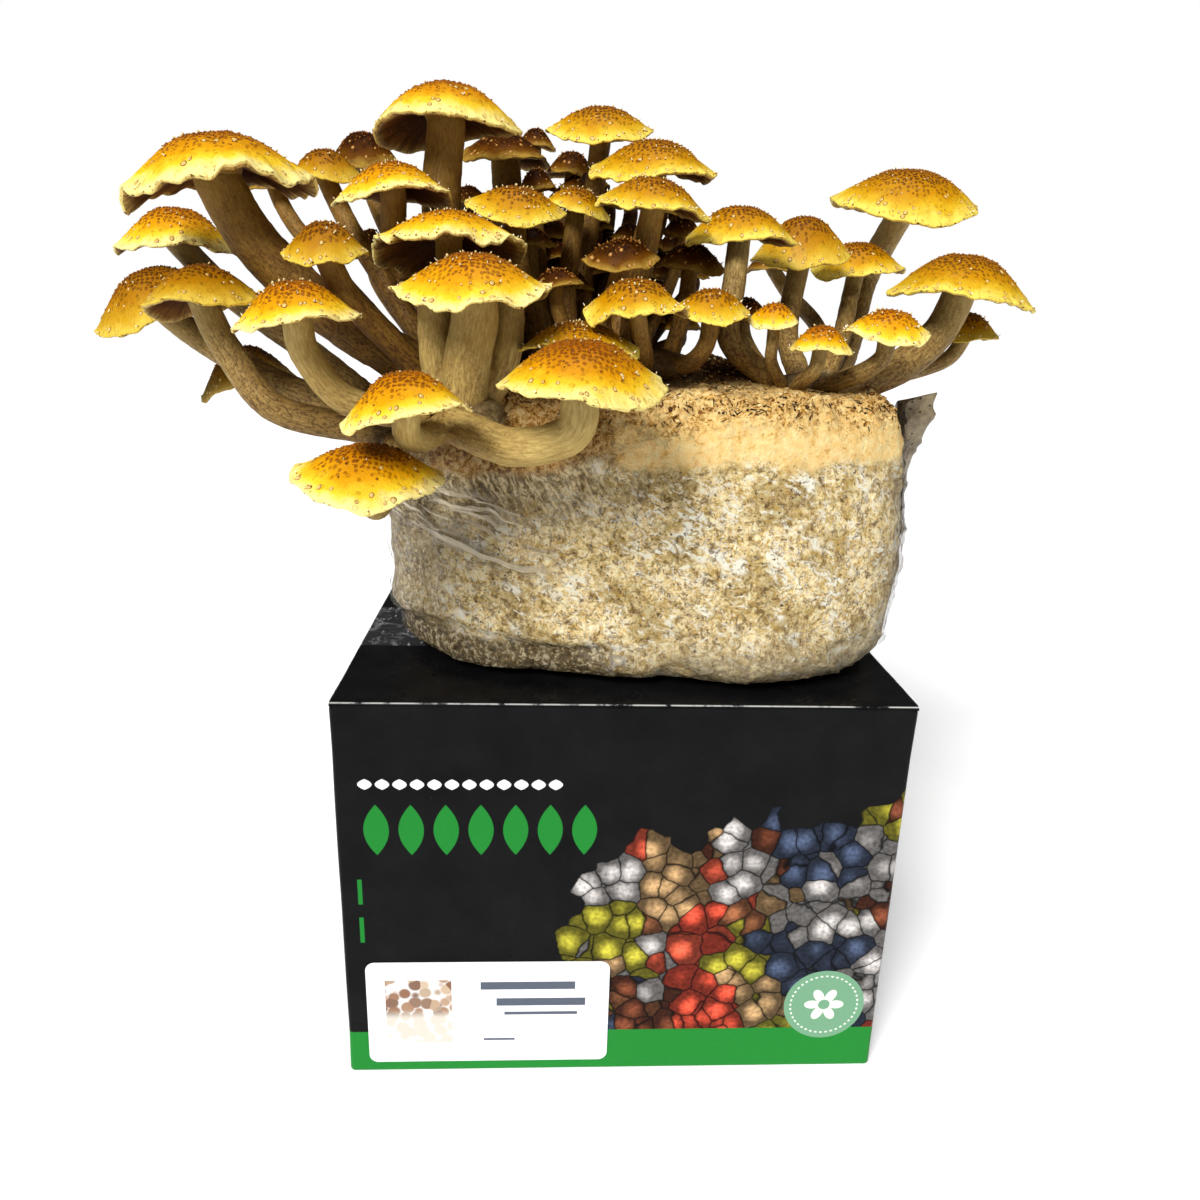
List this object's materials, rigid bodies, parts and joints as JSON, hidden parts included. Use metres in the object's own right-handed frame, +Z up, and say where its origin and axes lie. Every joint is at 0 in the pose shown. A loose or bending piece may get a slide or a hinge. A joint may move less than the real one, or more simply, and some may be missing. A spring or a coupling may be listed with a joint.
{
  "type": "mushroom grow kit",
  "caption": "Cluster of scaly golden-brown mushrooms growing from a sawdust block in a cut-open film bag, standing on its closed black carton.",
  "frame": {"origin": "centre of the carton's base", "axes": "+Z up, +X to the right as the printed front is seen, -Y out of the printed front"},
  "size_m": [0.3496, 0.2175, 0.3649],
  "materials": {
    "cap_skin": "moist, scaly",
    "stem_flesh": "fibrous, matte",
    "sawdust_block": "crumbly, matte",
    "clear_film": "clear, wrinkled",
    "black_card": "gloss laminated print",
    "clear_tape": "clear, glossy",
    "white_paper": "satin"
  },
  "bodies": {
    "root": {"cap_left_back_1": "cap_skin", "cap_left_back_10": "cap_skin", "cap_left_back_2": "cap_skin", "cap_left_back_3": "cap_skin", "cap_left_back_4": "cap_skin", "cap_left_back_5": "cap_skin", "cap_left_back_6": "cap_skin", "cap_left_back_7": "cap_skin", "cap_left_back_8": "cap_skin", "cap_left_back_9": "cap_skin", "cap_left_front_1": "cap_skin", "cap_left_front_2": "cap_skin", "cap_left_front_3": "cap_skin", "cap_left_front_4": "cap_skin", "cap_left_outer_1": "cap_skin", "cap_left_outer_2": "cap_skin", "cap_left_outer_3": "cap_skin", "cap_left_outer_4": "cap_skin", "cap_left_outer_5": "cap_skin", "cap_middle_back_1": "cap_skin", "cap_middle_back_2": "cap_skin", "cap_middle_back_3": "cap_skin", "cap_middle_back_4": "cap_skin", "cap_middle_back_5": "cap_skin", "cap_middle_back_6": "cap_skin", "cap_middle_back_7": "cap_skin", "cap_middle_back_8": "cap_skin", "cap_middle_back_9": "cap_skin", "cap_middle_front_1": "cap_skin", "cap_middle_front_2": "cap_skin", "cap_middle_front_3": "cap_skin", "cap_middle_front_4": "cap_skin", "cap_middle_front_5": "cap_skin", "cap_middle_front_6": "cap_skin", "cap_middle_front_7": "cap_skin", "cap_right_1": "cap_skin", "cap_right_10": "cap_skin", "cap_right_11": "cap_skin", "cap_right_2": "cap_skin", "cap_right_3": "cap_skin", "cap_right_4": "cap_skin", "cap_right_5": "cap_skin", "cap_right_6": "cap_skin", "cap_right_7": "cap_skin", "cap_right_8": "cap_skin", "cap_right_9": "cap_skin", "carton": "black_card", "film_bag": "clear_film", "label": "white_paper", "stems_left_back": "stem_flesh", "stems_left_front": "stem_flesh", "stems_left_outer": "stem_flesh", "stems_middle_back": "stem_flesh", "stems_middle_front": "stem_flesh", "stems_right": "stem_flesh", "substrate_block": "sawdust_block", "tape": "clear_tape"}
  },
  "joints": []
}
